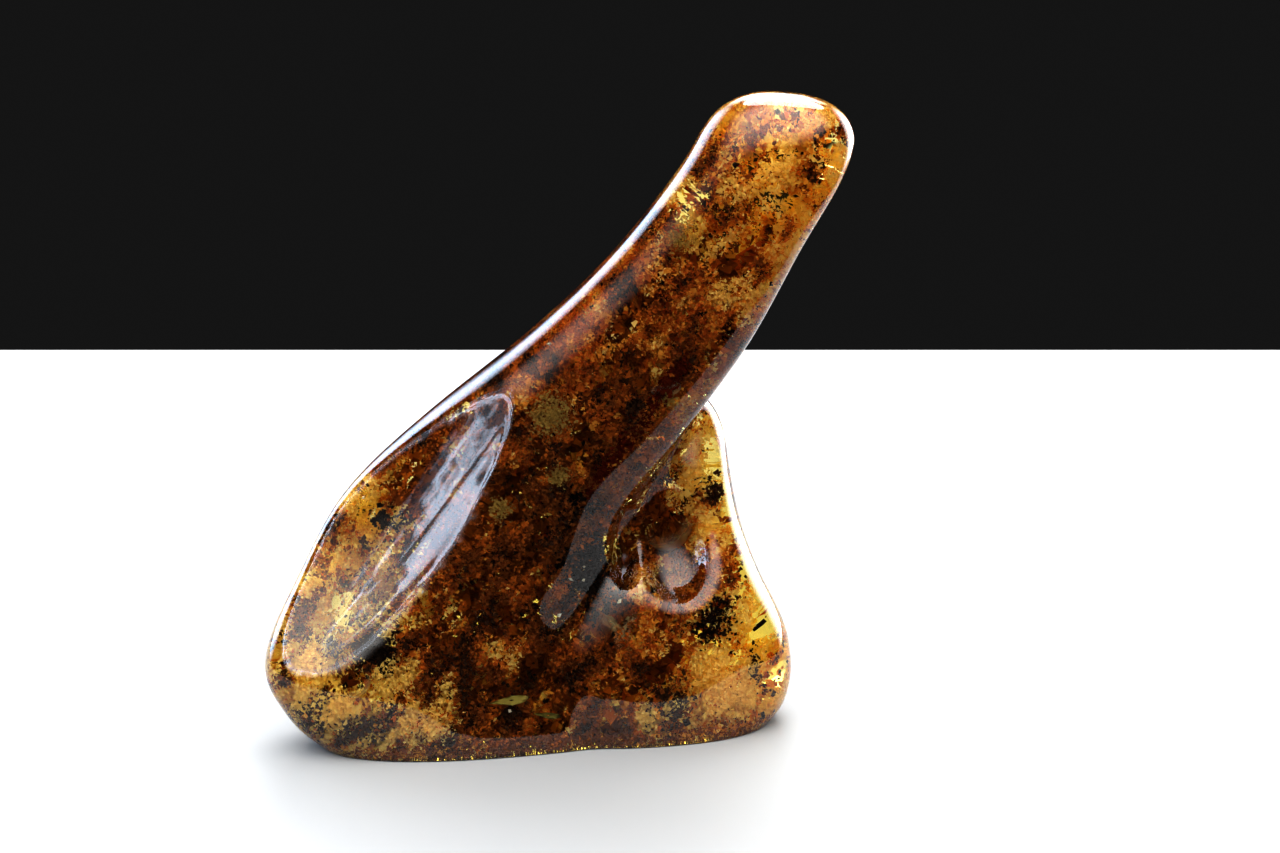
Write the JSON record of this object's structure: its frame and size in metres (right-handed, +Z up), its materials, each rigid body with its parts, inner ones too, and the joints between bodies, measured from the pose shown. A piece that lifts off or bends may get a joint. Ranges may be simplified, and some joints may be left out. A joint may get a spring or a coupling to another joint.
{
  "type": "amber specimen",
  "caption": "Polished free-form lump of fossil resin on a ground-flat base, with a leaning finger, a low fin behind it and a long hollow down one flank.",
  "frame": {"origin": "on the resting surface, under the middle of the lump's box", "axes": "+Z up, +X towards the side that the finger leans to, -Y towards the front"},
  "size_m": [0.071, 0.0326, 0.079],
  "materials": {
    "amber": "polished clear resin, orange-brown to gold, clouded by plant debris"
  },
  "bodies": {
    "root": {"amber": "amber"}
  },
  "joints": []
}
